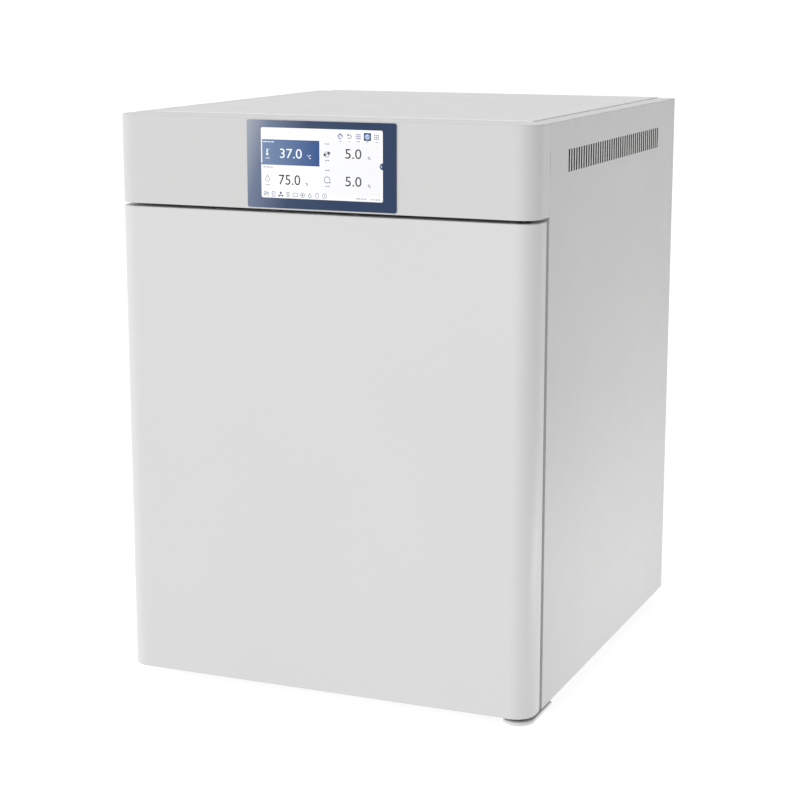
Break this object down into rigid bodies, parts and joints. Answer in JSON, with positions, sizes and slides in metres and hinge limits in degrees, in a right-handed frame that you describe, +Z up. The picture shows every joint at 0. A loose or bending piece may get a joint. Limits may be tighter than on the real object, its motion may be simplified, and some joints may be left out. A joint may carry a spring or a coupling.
{
  "type": "laboratory incubator",
  "caption": "Benchtop gas-controlled laboratory incubator with an insulated outer door, glass inner door, perforated shelves and a touch-screen control panel",
  "frame": {"origin": "on the surface the feet stand on, at the centre of the overall outline", "axes": "+Z up, the doors face -Y, +X to the right when facing the doors"},
  "size_m": [0.45, 0.509, 0.6],
  "materials": {
    "casing_paint": "satin",
    "frame_paint": "satin",
    "stainless": "satin",
    "bright_steel": "satin",
    "insulation": "matte",
    "liner_plastic": "satin",
    "grip_plastic": "matte",
    "black_rubber": "matte",
    "grey_rubber": "matte",
    "silicone": "satin",
    "heater_silicone": "matte",
    "clear_glass": "gloss",
    "blue_bezel": "gloss",
    "screen": "gloss",
    "circuit_board": "satin",
    "bare_aluminium": "satin",
    "black_plastic": "satin",
    "nylon": "satin",
    "gas_tube": "satin",
    "brass_fitting": "satin"
  },
  "bodies": {
    "cabinet": {"side_panel_left": "casing_paint", "side_panel_right": "casing_paint", "base_pan": "bright_steel", "foot_nuts": "bright_steel", "rear_panel": "casing_paint", "top_cover": "casing_paint", "control_fascia": "casing_paint", "front_frame": "frame_paint", "service_deck": "bright_steel", "chamber_liner": "stainless", "chamber_heaters": "heater_silicone", "insulation_boards": "insulation", "inner_door_seal": "silicone", "shelf_racks": "stainless", "shelf_lower": "stainless", "shelf_middle": "stainless", "shelf_upper": "stainless", "water_pan": "stainless", "air_duct_cover": "stainless", "blower_motor": "bare_aluminium", "chamber_sensors": "bright_steel", "access_port": "black_plastic", "lower_hinge_bracket": "casing_paint", "lower_hinge_shim": "bright_steel", "upper_hinge_bracket": "bright_steel", "door_hinge_pins": "bright_steel", "hinge_washer": "nylon", "inner_hinge_brackets": "bright_steel", "inner_hinge_pins": "bright_steel", "inner_catch": "black_plastic", "display_bezel": "blue_bezel", "display_screen": "screen", "display_board": "circuit_board", "main_board": "circuit_board", "power_supply": "bare_aluminium", "gas_valves": "black_plastic", "gas_tubing": "gas_tube", "gas_inlets": "brass_fitting", "power_inlet": "black_plastic", "cooling_fan_frame": "black_plastic", "cooling_fan_guard": "bright_steel", "casing_screws": "bright_steel"},
    "outer_door": {"door_skin": "casing_paint", "door_liner": "liner_plastic", "door_foam": "insulation", "door_grip": "grip_plastic", "door_gasket": "grey_rubber", "door_bushes": "nylon"},
    "inner_door": {"inner_door_glass": "clear_glass", "inner_hinge_leaves": "bright_steel", "inner_door_knob": "black_plastic"},
    "blower": {"blower_wheel": "black_plastic"},
    "cooling_fan": {"cooling_fan_rotor": "black_plastic"},
    "power_switch": {"power_switch_rocker": "black_plastic"},
    "port_plug": {"port_stopper": "silicone"},
    "levelling_foot_front_left": {"foot_front_left": "black_rubber"},
    "levelling_foot_front_right": {"foot_front_right": "black_rubber"},
    "levelling_foot_rear_left": {"foot_rear_left": "black_rubber"},
    "levelling_foot_rear_right": {"foot_rear_right": "black_rubber"}
  },
  "joints": [
    {"name": "outer_door_hinge", "type": "hinge", "parent": "cabinet", "child": "outer_door", "pos_m": [0.209, -0.2375, 0.26], "axis": [0, 0, 1], "range_deg": [0, 110]},
    {"name": "inner_door_hinge", "type": "hinge", "parent": "cabinet", "child": "inner_door", "pos_m": [0.182, -0.2175, 0.26], "axis": [0, 0, 1], "range_deg": [0, 100]},
    {"name": "blower_spin", "type": "hinge", "parent": "cabinet", "child": "blower", "pos_m": [0, 0.1475, 0.375], "axis": [0, 1, 0], "continuous": true},
    {"name": "cooling_fan_spin", "type": "hinge", "parent": "cabinet", "child": "cooling_fan", "pos_m": [-0.12, 0.2225, 0.555], "axis": [0, 1, 0], "continuous": true},
    {"name": "power_switch_rock", "type": "hinge", "parent": "cabinet", "child": "power_switch", "pos_m": [0.142, 0.236, 0.555], "axis": [1, 0, 0], "range_deg": [-16, 0]},
    {"name": "port_plug_pull", "type": "slide", "parent": "cabinet", "child": "port_plug", "axis": [0, 1, 0], "range_m": [0, 0.045]},
    {"name": "foot_turn_front_left", "type": "hinge", "parent": "cabinet", "child": "levelling_foot_front_left", "pos_m": [-0.165, -0.1695, 0.01], "axis": [0, 0, 1], "continuous": true},
    {"name": "foot_turn_front_right", "type": "hinge", "parent": "cabinet", "child": "levelling_foot_front_right", "pos_m": [0.165, -0.1695, 0.01], "axis": [0, 0, 1], "continuous": true},
    {"name": "foot_turn_rear_left", "type": "hinge", "parent": "cabinet", "child": "levelling_foot_rear_left", "pos_m": [-0.165, 0.1915, 0.01], "axis": [0, 0, 1], "continuous": true},
    {"name": "foot_turn_rear_right", "type": "hinge", "parent": "cabinet", "child": "levelling_foot_rear_right", "pos_m": [0.165, 0.1915, 0.01], "axis": [0, 0, 1], "continuous": true}
  ],
  "couplings": [
    {"joint": "inner_door_hinge", "follows": "outer_door_hinge", "ratio": 0.9}
  ]
}
